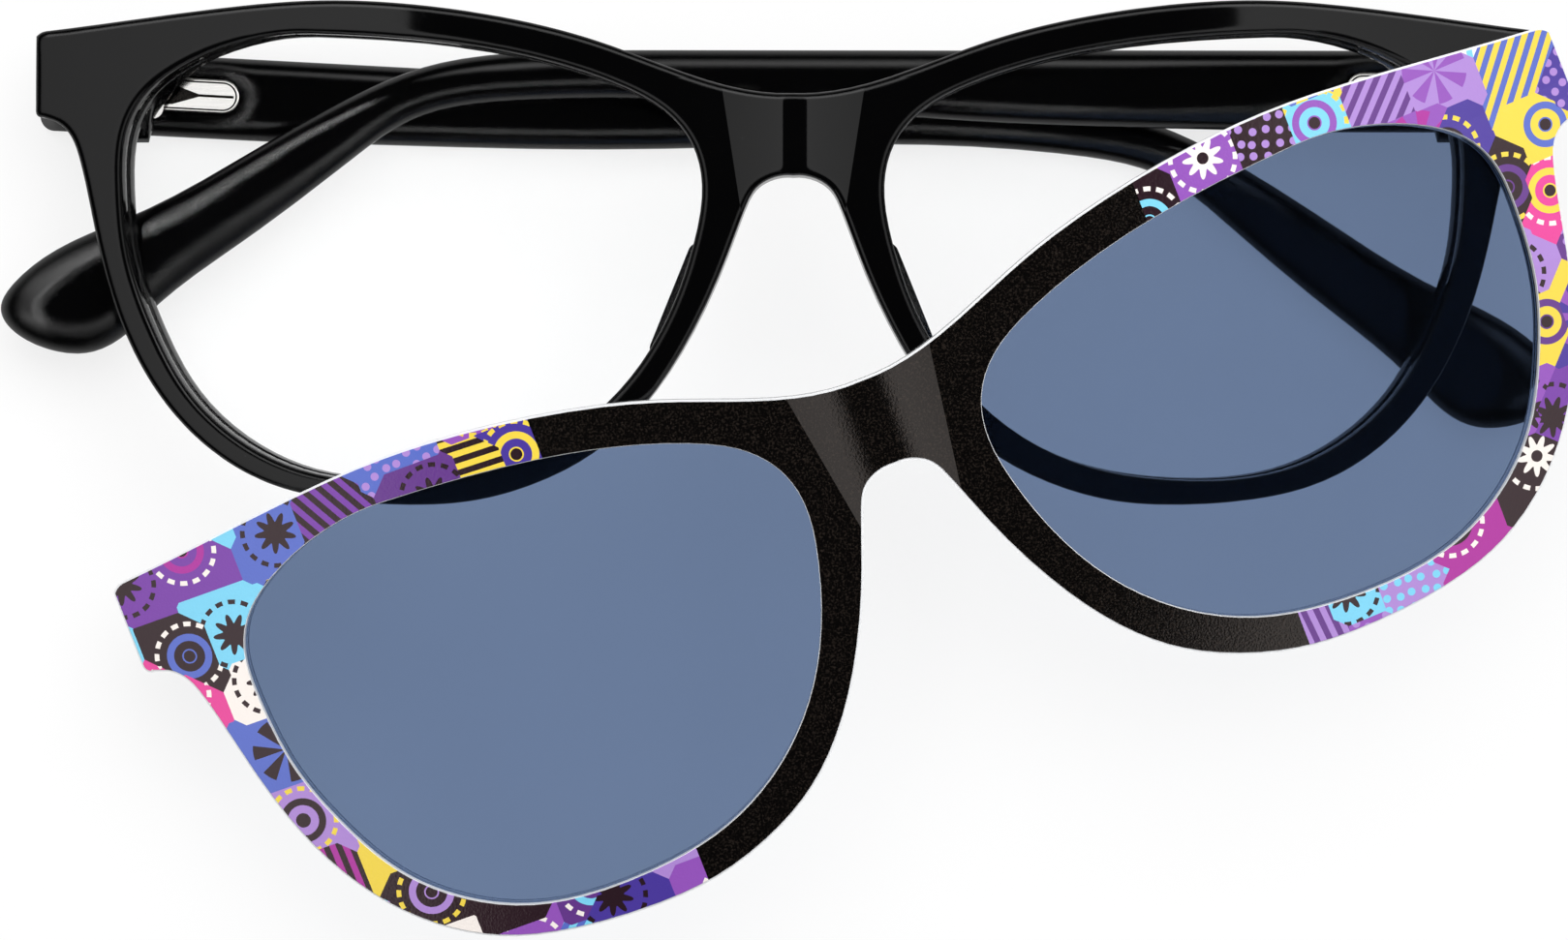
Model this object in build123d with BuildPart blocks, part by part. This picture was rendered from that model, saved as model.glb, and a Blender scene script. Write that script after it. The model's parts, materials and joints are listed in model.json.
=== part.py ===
# Eyeglass frame with a magnetic clip-on sun front.
# The frame lies on its folded temples, front face up. The clip rests on the front,
# swung off its seat about a corner of the front, and slides back over the same curve.
# X runs along the folded temples, Y towards the brow, Z up from the table.
# The origin is on the table, under the bridge, in the middle of the lower temple's outer face.
from build123d import *
import math
import os

# Front of the frame, millimetres
front_thickness = 4.2
face_radius = 240.0
face_axis_drop = 21.0
lens_width = 54.4
lens_height = 41.8
bridge_gap = 16.9
lens_rise = 0.45
end_width = 8.15
brow_rim = 3.0
lower_rim = 2.2
edge_round = 0.5

# Lenses of the frame
lens_thickness = 1.8
lens_recess = 1.3
groove_depth = 0.6
groove_width = 0.8
lens_clearance = 0.03

# End pieces, hinges and temples
pin_depth = 17.0
pin_drop = 4.45
hinge_offset = 1.15
temple_thickness = 3.8
temple_height = 7.7
temple_reach = 140.5
temple_drop = 24.9
temple_round = 1.5
block_length = 11.5
block_bottom = 9.5
mitre_clearance = 0.12
left_lean = 3.0
stack_gap = 0.25
hinge_line = 2.6

# Hinge leaf, screw and sprung slider
knuckle_radius = 1.0
pin_radius = 0.55
pin_clearance = 0.04
centre_knuckle = 2.2
outer_knuckle = 1.1
knuckle_gap = 0.06
leaf_length = 7.0
leaf_height = 5.0
leaf_thickness = 0.9
screw_head_radius = 0.95
screw_head_height = 0.5
screw_slot_width = 0.25
screw_slot_depth = 0.25
inlay_clearance = 0.03
tail_width = 1.1
tail_thickness = 0.8
tail_depth = 2.6
tail_length = 8.4
tail_head_length = 0.8
tail_head_width = 1.9
arm_reach = 1.3
arm_clearance = 0.12

# Spring case in the temple
case_start = 1.6
case_length = 12.4
case_height = 3.3
case_depth = 2.5
case_proud = 0.15
case_round = 0.2
chamber_start = 3.4
chamber_end = 11.4
chamber_width = 2.2
chamber_roof = 0.55
slider_clearance = 0.06
spring_radius = 0.84
spring_wire = 0.2
spring_turns = 5
spring_end_gap = 0.04
slot_mouth = 1.9
slot_neck = 0.25
slot_neck_start = 10.1
slot_mouth_end = 7.6
slot_end = 13.4
slot_depth = 0.4
border_width = 0.28
border_groove = 0.16
border_depth = 0.18

# Nose pads
pad_length = 12.5
pad_width = 2.4
pad_back_length = 10.5
pad_back_width = 1.8
pad_reach = 9.5
pad_splay = 0.2
pad_level_share = -0.6
pad_side_share = 1.036
pad_turn = 22.0

# Magnets in the frame and the clip
magnet_radius = 1.5
frame_magnet_thickness = 2.0
clip_magnet_thickness = 0.9
frame_skin = 0.8
magnet_clearance = 0.03
magnet_shares = [(1.896, -0.018), (0.497, -0.2333)]

# Clip-on front
clip_overhang = 0.4
clip_lip = 0.5
clip_thickness = 1.9
clip_gap = 0.2
film_thickness = 0.12
film_inset = 0.22
film_lens_inset = 0.06
clip_lens_thickness = 1.0
clip_lens_recess = 0.45
clip_groove_depth = 0.45
clip_groove_width = 0.4
swing_angle = 22.4
swing_inset = 0.3
swing_drop = 2.95

# One overrun serves every cut
overrun = 2.0

# The cone walls of the fronts are drawn between these shares of the face radius
cone_shares = (0.80, 1.02)

# Places on the front are counted in shares. Sideways, 0 to 1 runs over half of the bridge,
# 1 to 2 over the lens and 2 to 3 over the end piece. Upwards, 0 is the top of the lens and
# 1 the top of the brow. Downwards, -1 is the foot of the lens and -2 that of the rim.

# Brow, from the middle of the bridge to the end piece
brow_shares = [
    (0.0, -0.1402),
    (0.6419, -0.1274),
    (1.0442, -0.0878),
    (1.1772, -0.0236),
    (1.3435, 0.4453),
    (1.5098, 0.8754),
    (1.6428, 0.9973),
    (1.8422, 0.7553),
    (2.0565, 0.395),
    (2.878, 0.14),
]
end_side_shares = [
    (3.0, -0.00215),
    (3.0, -0.1713),
]

# Lower outline, from under the end piece round the rim to the middle of the nose arch
lower_shares = [
    (2.9216, -0.1841),
    (2.7779, -0.1937),
    (2.5897, -0.2269),
    (2.4782, -0.2826),
    (2.3005, -0.4387),
    (1.9919, -0.6699),
    (1.8888, -0.8774),
    (1.7508, -1.0288),
    (1.6261, -1.7977),
    (1.5098, -2.0032),
    (1.3934, -1.8422),
    (1.2769, -1.0288),
    (1.1772, -0.9308),
    (1.0891, -0.8175),
    (1.0109, -0.657),
    (0.7705, -0.5244),
    (0.5352, -0.3981),
    (0.4067, -0.351),
    (0.2143, -0.3275),
    (0.0, -0.3231),
]

# Lens outline: shares of the lens width from the nose side, and of the lens height from its top
lens_shares = [
    (0.6744, 0.0),
    (0.5415, -0.0096),
    (0.4086, -0.0289),
    (0.2757, -0.0632),
    (0.1429, -0.1199),
    (0.0598, -0.1820),
    (0.0133, -0.2634),
    (0.0, -0.3533),
    (0.0116, -0.4604),
    (0.0465, -0.6017),
    (0.1063, -0.7430),
    (0.1977, -0.8672),
    (0.3256, -0.9593),
    (0.4751, -0.9968),
    (0.5581, -1.0),
    (0.6860, -0.9764),
    (0.7924, -0.9101),
    (0.8821, -0.8009),
    (0.9444, -0.6552),
    (0.9834, -0.5096),
    (0.9983, -0.3319),
    (0.9917, -0.2184),
    (0.9651, -0.1456),
    (0.9053, -0.0792),
    (0.8073, -0.0236),
]

# Temple, seen from its inner side: shares of the reach from the pin, and of the drop of the tip
temple_top_shares = [
    (0.55, 0.150),
    (0.66, 0.136),
    (0.715, 0.086),
    (0.772, -0.0481),
    (0.819, -0.1930),
    (0.909, -0.4714),
    (0.988, -0.7137),
]
temple_tip_share = (1.0, -0.8174)
temple_bottom_shares = [
    (0.948, -1.0),
    (0.897, -0.8257),
    (0.839, -0.5788),
    (0.770, -0.2863),
    (0.725, -0.1162),
    (0.660, -0.0456),
    (0.560, -0.0373),
    (0.328, -0.125),
    (0.180, -0.150),
]

# Places that follow from the sizes
lens_side = bridge_gap / 2 + lens_width
half_width = lens_side + end_width
front_height = brow_rim + lens_height + lower_rim
block_inner = half_width - block_length
swing_side = half_width - swing_inset
rear_radius = face_radius - front_thickness
pin_side = half_width - temple_thickness - hinge_offset
pin_height_left = temple_thickness + hinge_offset
pin_height_right = pin_height_left + temple_thickness + stack_gap
rest_roll = math.asin((pin_height_right - pin_height_left) / (2 * pin_side))
clip_inner_radius = face_radius + clip_gap
clip_outer_radius = clip_inner_radius + clip_thickness
side_of = {"left": -1, "right": 1}

# The front leans by the rest roll, and its plane starts at the common centre of the curved faces
across = Vector(math.cos(rest_roll), 0, math.sin(rest_roll))
upward = Vector(-math.sin(rest_roll), 0, math.cos(rest_roll))
pins_middle = Vector(0, hinge_line, (pin_height_left + pin_height_right) / 2)
face_centre = pins_middle - Vector(0, face_axis_drop - pin_drop, 0) - upward * (face_radius - pin_depth)
front_plane = Plane(origin=face_centre, x_dir=across, z_dir=upward)


def across_front(share):
    """Distance from the middle of the bridge, seen square to the front, for a share sideways."""
    widths = (bridge_gap / 2, lens_width, end_width)
    return sum(width * min(max(share - k, 0), 1) for k, width in enumerate(widths))


def up_front(share):
    """Height over the front's datum, seen square to the front, for a share up or down."""
    over = max(share, 0) * brow_rim
    along_lens = max(min(share, 0), -1) * lens_height
    under = min(share + 1, 0) * lower_rim
    return lens_rise + over + along_lens + under


def on_cone(x, y):
    """A place seen square to the front, moved out to the plane that touches the curved face."""
    y_from_axis = y + face_axis_drop
    stretch = face_radius / math.sqrt(face_radius**2 - x**2 - y_from_axis**2)
    return (x * stretch, y_from_axis * stretch)


def clip_placement():
    """The plane of the clip: the front's plane swung about a line through the common centre."""
    drop = face_axis_drop - swing_drop
    rise = math.sqrt(face_radius**2 - swing_side**2 - drop**2)
    pivot = front_plane.from_local_coords((swing_side, drop, rise))
    swing_axis = Axis(face_centre, pivot - face_centre)
    turned_x = front_plane.x_dir.rotate(swing_axis, swing_angle)
    turned_z = front_plane.z_dir.rotate(swing_axis, swing_angle)
    return Plane(origin=face_centre, x_dir=turned_x, z_dir=turned_z)


clip_plane = clip_placement()


def rim_outline():
    """Outline of the whole front, on the plane that touches its face."""
    with BuildSketch() as outline:
        with BuildLine():
            brow = Spline([on_cone(across_front(x), up_front(y)) for x, y in brow_shares])
            side_top, side_bottom = [on_cone(across_front(x), up_front(y)) for x, y in end_side_shares]
            TangentArc(brow @ 1, side_top, tangent=brow % 1)
            side = Line(side_top, side_bottom)
            lower_points = [on_cone(across_front(x), up_front(y)) for x, y in lower_shares]
            TangentArc(side @ 1, lower_points[0], tangent=side % 1)
            Line(lower_points[0], lower_points[1])
            Spline(lower_points[1:])
            Line(lower_points[-1], brow @ 0)
        make_face()
        mirror(about=Plane.YZ)
    return outline.sketch


def lens_outline(side):
    """Outline of one lens opening, on the plane that touches the front's face."""
    points = []
    for x, y in lens_shares:
        across_from_middle = side * (bridge_gap / 2 + x * lens_width)
        points.append(on_cone(across_from_middle, lens_rise + y * lens_height))
    with BuildSketch() as outline:
        with BuildLine():
            Spline(points, periodic=True)
        make_face()
    return outline.sketch


def grown(outline, amount):
    """The same outline, moved out by an amount, or in where the amount is negative."""
    with BuildSketch() as moved:
        add(outline)
        offset(amount=amount, kind=Kind.ARC)
    return moved.sketch


def curved_plate(plane, outline, outer_radius, inner_radius):
    """A plate between two spheres about the plane's origin, with walls that point to that centre."""
    with BuildPart() as plate:
        for share in cone_shares:
            with BuildSketch(plane.offset(share * face_radius)):
                add(scale(outline, by=share))
        loft(ruled=True)
        with Locations(plane):
            Sphere(outer_radius, rotation=(90, 0, 0), mode=Mode.INTERSECT)
            Sphere(inner_radius, rotation=(90, 0, 0), mode=Mode.SUBTRACT)
    return plate.part


def side_plane(plane):
    """The plane through a pin that is square to it: X as before, Y out of the first plane."""
    return Plane(origin=plane.origin, x_dir=plane.x_dir, z_dir=-plane.y_dir)


def radial_plane(plane, side, height):
    """A plane at the common centre whose Z points to a place on the curved face."""
    x, y = on_cone(side, height)
    toward = plane.from_local_coords((x, y, face_radius)) - plane.origin
    return Plane(origin=plane.origin, x_dir=plane.x_dir, z_dir=toward)


def magnet_places():
    """Side and height of the four magnets, measured square to the front."""
    return [(side * across_front(x), up_front(y)) for side in (-1, 1) for x, y in magnet_shares]


def discs(plane, radius, lower, upper):
    """Four discs or holes at the magnets' places, between two distances from the common centre."""
    with BuildPart() as group:
        for side, height in magnet_places():
            with BuildSketch(radial_plane(plane, side, height).offset(lower)):
                Circle(radius)
            extrude(amount=upper - lower)
    return group.part


rim = rim_outline()
openings = {side: lens_outline(side_of[side]) for side in side_of}
inward = {"left": 1, "right": -1}
lean = {"left": left_lean, "right": 0.0}
pin_height = {"left": pin_height_left, "right": pin_height_right}

# Level of the flat rear of the end pieces, from the common centre
rear_level = face_radius - pin_depth + hinge_offset

# Planes of the temples and of the hinge leaves, with their origins on the pins
temple_planes = {}
leaf_planes = {}
for side in side_of:
    lean_angle = math.radians(lean[side])
    pin = Vector(side_of[side] * pin_side * math.cos(rest_roll), hinge_line, pin_height[side])
    along = Vector(math.cos(lean_angle), -inward[side] * math.sin(lean_angle), 0)
    temple_planes[side] = Plane(origin=pin, x_dir=along, z_dir=(0, 0, 1))
    pin_axis = temple_planes[side].y_dir
    leaf_x = pin_axis.cross(upward).normalized()
    leaf_planes[side] = Plane(origin=pin, x_dir=leaf_x, z_dir=leaf_x.cross(pin_axis))

# Rear of the front: a sphere inside the face, kept off the end pieces by 45 degree slopes
axis_to_block_bottom = face_axis_drop - block_bottom
rise_to_top = face_radius - rear_level
with BuildPart() as rear_hollow:
    with BuildSketch(side_plane(front_plane)):
        with BuildLine():
            Polyline(
                (-block_inner - overrun, rear_level - overrun),
                (block_inner + overrun, rear_level - overrun),
                (block_inner - rise_to_top, face_radius),
                (rise_to_top - block_inner, face_radius),
                close=True,
            )
        make_face()
    extrude(amount=front_height + half_width, both=True)
    with BuildSketch(Plane(origin=face_centre, x_dir=front_plane.y_dir, z_dir=front_plane.x_dir)):
        with BuildLine():
            Polyline(
                (axis_to_block_bottom - overrun, rear_level - overrun),
                (axis_to_block_bottom + rise_to_top, face_radius),
                (-half_width, face_radius),
                (-half_width, rear_level - overrun),
                close=True,
            )
        make_face()
    extrude(amount=half_width + overrun, both=True)
    with Locations(front_plane):
        Sphere(rear_radius, rotation=(90, 0, 0), mode=Mode.INTERSECT)

# Front: one piece of acetate, cut from thick stock and bent to the face radius
groove_radius = face_radius - lens_recess - lens_thickness / 2
with BuildPart() as front:
    for level in (rear_level, cone_shares[1] * face_radius):
        with BuildSketch(front_plane.offset(level)):
            add(scale(rim, by=level / face_radius))
    loft(ruled=True)
    with Locations(front_plane):
        Sphere(face_radius, rotation=(90, 0, 0), mode=Mode.INTERSECT)
    add(rear_hollow.part, mode=Mode.SUBTRACT)
    for side in side_of:
        add(curved_plate(front_plane, openings[side], face_radius + overrun, rear_level - overrun), mode=Mode.SUBTRACT)
    face_edges = front.edges().filter_by(
        lambda edge: abs((edge @ 0.5 - face_centre).length - face_radius) < edge_round / 100
    )
    fillet(face_edges, radius=edge_round)
    for side in side_of:
        groove = grown(openings[side], groove_depth)
        add(
            curved_plate(front_plane, groove, groove_radius + groove_width / 2, groove_radius - groove_width / 2),
            mode=Mode.SUBTRACT,
        )
    # Mitres for the temples' ends
    mitre_level = rear_level + mitre_clearance
    mitre_side = pin_side + hinge_offset
    mitre_run = half_width - mitre_side + overrun
    for turn in (-1, 1):
        with BuildSketch(side_plane(front_plane)):
            with BuildLine():
                Polyline(
                    (turn * (mitre_side - overrun), mitre_level - overrun),
                    (turn * (mitre_side + mitre_run), mitre_level + mitre_run),
                    (turn * (mitre_side + mitre_run), mitre_level - overrun),
                    close=True,
                )
            make_face()
        extrude(amount=half_width, both=True, mode=Mode.SUBTRACT)
    # Blind holes for the magnets, drilled from behind
    skin_level = face_radius - frame_skin
    add(
        discs(front_plane, magnet_radius + magnet_clearance, rear_level - overrun, skin_level),
        mode=Mode.SUBTRACT,
    )
    # Beds of the hinge leaves
    for side in side_of:
        bed_length = leaf_length + 2 * inlay_clearance
        bed_middle = inward[side] * leaf_length / 2
        with BuildSketch(leaf_planes[side].offset(hinge_offset - overrun)):
            with Locations((bed_middle, 0)):
                Rectangle(bed_length, leaf_height + 2 * inlay_clearance)
        extrude(amount=leaf_thickness + overrun, mode=Mode.SUBTRACT)
front.part.label = "front"

# Magnets of the frame
with BuildPart() as frame_magnets:
    add(discs(front_plane, magnet_radius, skin_level - frame_magnet_thickness, skin_level))
frame_magnets.part.label = "frame_magnets"


def seated_lens(plane, outline, lip, outer_radius, thickness, depth, width):
    """A lens with its rim tongue, for an opening with a lip and a groove of that depth and width."""
    tongue_radius = outer_radius - thickness / 2
    half_tongue = width / 2 - lens_clearance
    with BuildPart() as lens:
        body = grown(outline, -lip - lens_clearance)
        add(curved_plate(plane, body, outer_radius, outer_radius - thickness))
        tongue = grown(outline, depth - lip - lens_clearance)
        add(curved_plate(plane, tongue, tongue_radius + half_tongue, tongue_radius - half_tongue))
    return lens.part


# Clear lenses of the frame
lenses = {}
for side in side_of:
    with BuildPart() as lenses[side]:
        add(
            seated_lens(
                front_plane,
                openings[side],
                0,
                face_radius - lens_recess,
                lens_thickness,
                groove_depth,
                groove_width,
            )
        )
    lenses[side].part.label = "lens_" + side

# Nose pads, glued behind the rims at the nose
pads = {}
pad_level = face_radius - pad_reach
pad_side = across_front(pad_side_share)
pad_up = face_axis_drop + up_front(pad_level_share)
for side in side_of:
    turn = side_of[side]
    with BuildPart() as pads[side]:
        with BuildSketch(front_plane.offset(face_radius)):
            with Locations((turn * pad_side, pad_up)):
                SlotOverall(pad_length, pad_width, rotation=90 + turn * pad_turn)
        with BuildSketch(front_plane.offset(pad_level)):
            with Locations((turn * (pad_side + pad_splay), pad_up)):
                SlotOverall(pad_back_length, pad_back_width, rotation=90 + turn * pad_turn)
        loft(ruled=True)
        with Locations(front_plane):
            Sphere(rear_radius, rotation=(90, 0, 0), mode=Mode.INTERSECT)
        pad_end = pads[side].faces().sort_by(Axis(face_centre, upward))[0]
        fillet(pad_end.edges(), radius=pad_back_width / 4)
    pads[side].part.label = "nose_pad_" + side

# Hinge leaves, screws, sliders, springs, spring cases and temples
knuckle_middle = centre_knuckle / 2 + knuckle_gap + outer_knuckle / 2
bore_radius = pin_radius + pin_clearance
screw_end = knuckle_middle + outer_knuckle / 2
leaves, screws, sliders, springs, cases, temples = {}, {}, {}, {}, {}, {}
case_end = case_start + case_length
case_middle = case_start + case_length / 2
case_top = case_proud - hinge_offset
case_bottom = -hinge_offset - case_depth
chamber_top = case_top - chamber_roof
tail_top = tail_thickness / 2 - tail_depth
tail_bottom = -tail_thickness / 2 - tail_depth
head_start = tail_length - tail_head_length

for side in side_of:
    turn = inward[side]
    leaf_plane = leaf_planes[side]
    temple_plane = temple_planes[side]
    edge_plane = side_plane(temple_plane)

    # Leaf with two knuckles, let into the rear of the end piece
    with BuildPart() as leaves[side]:
        with BuildSketch(leaf_plane.offset(hinge_offset)):
            with Locations((turn * leaf_length / 2, 0)):
                Rectangle(leaf_length, leaf_height)
        extrude(amount=leaf_thickness)
        far_edges = leaves[side].edges().filter_by(Axis((0, 0, 0), leaf_plane.z_dir))
        fillet(far_edges.sort_by(Axis(leaf_plane.origin, turn * leaf_plane.x_dir))[-2:], radius=knuckle_radius)
        for row in (-1, 1):
            with BuildSketch(side_plane(leaf_plane).offset(row * knuckle_middle)):
                Circle(knuckle_radius)
                with BuildLine():
                    Polyline(
                        (-turn * knuckle_radius, 0),
                        (turn * knuckle_radius, 0),
                        (turn * 2 * knuckle_radius, hinge_offset),
                        (turn * 2 * knuckle_radius, hinge_offset + leaf_thickness),
                        (0, hinge_offset + leaf_thickness),
                        (0, hinge_offset),
                        close=True,
                    )
                make_face()
                Circle(bore_radius, mode=Mode.SUBTRACT)
            extrude(amount=outer_knuckle / 2, both=True)
    leaves[side].part.label = "hinge_leaf_" + side

    # Screw that is the hinge pin, with a slotted head
    with BuildPart() as screws[side]:
        with BuildSketch(side_plane(leaf_plane).offset(-screw_end)):
            Circle(pin_radius)
        extrude(amount=2 * screw_end)
        with BuildSketch(side_plane(leaf_plane).offset(-screw_end)):
            Circle(screw_head_radius)
        extrude(amount=-screw_head_height)
        with BuildSketch(side_plane(leaf_plane).offset(-screw_end - screw_head_height)):
            Rectangle(2 * screw_head_radius, screw_slot_width)
        extrude(amount=screw_slot_depth, mode=Mode.SUBTRACT)
    screws[side].part.label = "hinge_screw_" + side

    # Slider: the middle knuckle, and a tail that the spring holds in the temple
    with BuildPart() as sliders[side]:
        with BuildSketch(edge_plane):
            Circle(knuckle_radius)
            with BuildLine():
                Polyline(
                    (0, knuckle_radius),
                    (turn * arm_reach, tail_top),
                    (turn * arm_reach, tail_bottom),
                    (0, tail_bottom),
                    (-turn * knuckle_radius, 0),
                    close=True,
                )
            make_face()
            Circle(bore_radius, mode=Mode.SUBTRACT)
        extrude(amount=centre_knuckle / 2, both=True)
        with BuildSketch(edge_plane):
            with Locations((turn * (knuckle_radius + tail_length) / 2, -tail_depth)):
                Rectangle(tail_length - knuckle_radius, tail_thickness)
        extrude(amount=tail_width / 2, both=True)
        with BuildSketch(edge_plane):
            with Locations((turn * (tail_length - tail_head_length / 2), -tail_depth)):
                Rectangle(tail_head_length, tail_head_width)
        extrude(amount=tail_head_width / 2, both=True)
    sliders[side].part.label = "hinge_slider_" + side

    # Flat-wire spring round the tail, between the front wall of the case and the head of the tail
    spring_start = chamber_start + spring_wire / 2 + spring_end_gap
    spring_length = head_start - chamber_start - spring_wire - 2 * spring_end_gap
    with BuildPart() as springs[side]:
        with BuildLine():
            coil = Helix(
                pitch=spring_length / spring_turns,
                height=spring_length,
                radius=spring_radius,
                center=edge_plane.from_local_coords((turn * spring_start, -tail_depth, 0)),
                direction=turn * temple_plane.x_dir,
            )
        with BuildSketch(Plane(origin=coil @ 0, x_dir=temple_plane.x_dir, z_dir=coil % 0)):
            Rectangle(spring_wire, spring_wire)
        sweep(is_frenet=True)
    springs[side].part.label = "hinge_spring_" + side

    # Spring case, let into the temple's inner face
    with BuildPart() as cases[side]:
        with BuildSketch(temple_plane.offset(case_bottom)):
            with Locations((turn * case_middle, 0)):
                SlotOverall(case_length, case_height)
        extrude(amount=case_top - case_bottom)
        fillet(cases[side].faces().sort_by(Axis(temple_plane.origin, temple_plane.z_dir))[-1].edges(), radius=case_round)
        with BuildSketch(temple_plane.offset(case_bottom)):
            with Locations((turn * (chamber_start + chamber_end) / 2, 0)):
                Rectangle(chamber_end - chamber_start, chamber_width)
        extrude(amount=chamber_top - case_bottom, mode=Mode.SUBTRACT)
        with BuildSketch(temple_plane.offset(case_bottom)):
            with Locations((turn * (case_start + chamber_start) / 2, 0)):
                Rectangle(chamber_start - case_start + overrun, tail_width + 2 * slider_clearance)
        extrude(amount=tail_top + slider_clearance - case_bottom, mode=Mode.SUBTRACT)
        with BuildSketch(temple_plane.offset(case_top)):
            with BuildLine():
                Polyline(
                    (turn * (case_start + border_width), slot_mouth / 2),
                    (turn * slot_mouth_end, slot_mouth / 2),
                    (turn * slot_neck_start, slot_neck / 2),
                    (turn * slot_end, slot_neck / 2),
                    (turn * slot_end, -slot_neck / 2),
                    (turn * slot_neck_start, -slot_neck / 2),
                    (turn * slot_mouth_end, -slot_mouth / 2),
                    (turn * (case_start + border_width), -slot_mouth / 2),
                    close=True,
                )
            make_face()
        extrude(amount=-slot_depth, mode=Mode.SUBTRACT)
        groove_outer = border_width
        groove_inner = border_width + border_groove
        with BuildSketch(temple_plane.offset(case_top)):
            with Locations((turn * case_middle, 0)):
                SlotOverall(case_length - 2 * groove_outer, case_height - 2 * groove_outer)
                SlotOverall(case_length - 2 * groove_inner, case_height - 2 * groove_inner, mode=Mode.SUBTRACT)
        extrude(amount=-border_depth, mode=Mode.SUBTRACT)
    cases[side].part.label = "spring_case_" + side

    # Temple: flat acetate bar with an ear bend and a broad rounded tip
    outer_level = -hinge_offset - temple_thickness
    slot_width = centre_knuckle + 2 * arm_clearance
    with BuildPart() as temples[side]:
        with BuildSketch(temple_plane.offset(outer_level)):
            with BuildLine():
                start = -(hinge_offset + temple_thickness)
                top_points = [(turn * x * temple_reach, y * temple_drop) for x, y in temple_top_shares]
                bottom_points = [(turn * x * temple_reach, y * temple_drop) for x, y in temple_bottom_shares]
                tip = (turn * temple_tip_share[0] * temple_reach, temple_tip_share[1] * temple_drop)
                top_start = (turn * start, top_points[0][1])
                bottom_start = (turn * start, top_points[0][1] - temple_height)
                Line(top_start, top_points[0])
                Spline(top_points + [tip] + bottom_points + [bottom_start], tangents=[(turn, 0), (-turn, 0)])
                Line(bottom_start, top_start)
            make_face()
        extrude(amount=temple_thickness)
        long_edges = temples[side].edges().filter_by(
            lambda edge: abs(edge.tangent_at(0.5).dot(temple_plane.z_dir)) < 0.5 and edge.length > temple_height * 2
        )
        fillet(long_edges, radius=temple_round)
        with BuildSketch(edge_plane):
            with BuildLine():
                Polyline(
                    (-turn * (hinge_offset - overrun), overrun - hinge_offset),
                    (turn * (outer_level - overrun), outer_level - overrun),
                    (turn * (outer_level - overrun), overrun - hinge_offset),
                    close=True,
                )
            make_face()
        extrude(amount=temple_height, both=True, mode=Mode.SUBTRACT)
        with BuildSketch(temple_plane.offset(case_bottom - inlay_clearance)):
            with Locations((turn * case_middle, 0)):
                SlotOverall(case_length + 2 * inlay_clearance, case_height + 2 * inlay_clearance)
        extrude(amount=case_depth + overrun, mode=Mode.SUBTRACT)
        with BuildSketch(temple_plane.offset(tail_bottom - arm_clearance)):
            with Locations((turn * (case_start + case_height / 2 + outer_level) / 2, 0)):
                Rectangle(case_start + case_height / 2 - outer_level, slot_width)
        extrude(amount=tail_depth + overrun, mode=Mode.SUBTRACT)
    temples[side].part.label = "temple_" + side

# Clip: a thin plate of the front's outline, with its own lip round each lens
clip_outline = grown(rim, clip_overhang)
clip_openings = {side: grown(openings[side], -clip_lip) for side in side_of}
clip_lens_radius = clip_outer_radius - clip_lens_recess
clip_groove_radius = clip_lens_radius - clip_lens_thickness / 2
with BuildPart() as clip_frame:
    add(curved_plate(clip_plane, clip_outline, clip_outer_radius, clip_inner_radius))
    for side in side_of:
        hole = curved_plate(clip_plane, clip_openings[side], clip_outer_radius + overrun, clip_inner_radius - overrun)
        add(hole, mode=Mode.SUBTRACT)
        groove = grown(openings[side], clip_groove_depth - clip_lip)
        half_groove = clip_groove_width / 2
        add(
            curved_plate(clip_plane, groove, clip_groove_radius + half_groove, clip_groove_radius - half_groove),
            mode=Mode.SUBTRACT,
        )
    magnet_bed = clip_inner_radius + clip_magnet_thickness
    add(
        discs(clip_plane, magnet_radius + magnet_clearance, clip_inner_radius - overrun, magnet_bed),
        mode=Mode.SUBTRACT,
    )
clip_frame.part.label = "clip_frame"

# Printed film on the face of the clip
with BuildPart() as clip_print:
    film_outline = grown(rim, clip_overhang - film_inset)
    add(curved_plate(clip_plane, film_outline, clip_outer_radius + film_thickness, clip_outer_radius))
    for side in side_of:
        hole_outline = grown(openings[side], film_lens_inset - clip_lip)
        hole = curved_plate(clip_plane, hole_outline, clip_outer_radius + overrun, clip_outer_radius - overrun)
        add(hole, mode=Mode.SUBTRACT)
clip_print.part.label = "clip_print"

# Tinted lenses of the clip
clip_lenses = {}
for side in side_of:
    with BuildPart() as clip_lenses[side]:
        add(
            seated_lens(
                clip_plane,
                openings[side],
                clip_lip,
                clip_lens_radius,
                clip_lens_thickness,
                clip_groove_depth,
                clip_groove_width,
            )
        )
    clip_lenses[side].part.label = "clip_lens_" + side

# Magnets of the clip
with BuildPart() as clip_magnets:
    add(discs(clip_plane, magnet_radius, clip_inner_radius, magnet_bed))
clip_magnets.part.label = "clip_magnets"

# One STEP file for each named piece
os.makedirs("parts", exist_ok=True)
pieces = [front, frame_magnets, clip_frame, clip_print, clip_magnets]
for group in (lenses, pads, leaves, screws, sliders, springs, cases, temples, clip_lenses):
    pieces.extend(group.values())
for piece in pieces:
    export_step(piece.part, "parts/" + piece.part.label + ".step")
    print(piece.part.label, round(piece.part.volume, 2), piece.part.is_valid)
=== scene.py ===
# %% [markdown]
# # An acetate frame with its magnetic clip-on
# A polished black cat-eye frame lies folded on a white table. A thin clip-on sun front,
# printed with a patchwork pattern, lies across it, swung round one corner.
# The solid pieces come from the imported model and stay where they are. This lesson gives
# them their finishes, puts a copy in place of each of the two hidden springs, sets the table
# and the soft light, and places the camera.

import json
import math

import bpy
from mathutils import Matrix, Vector


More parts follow.
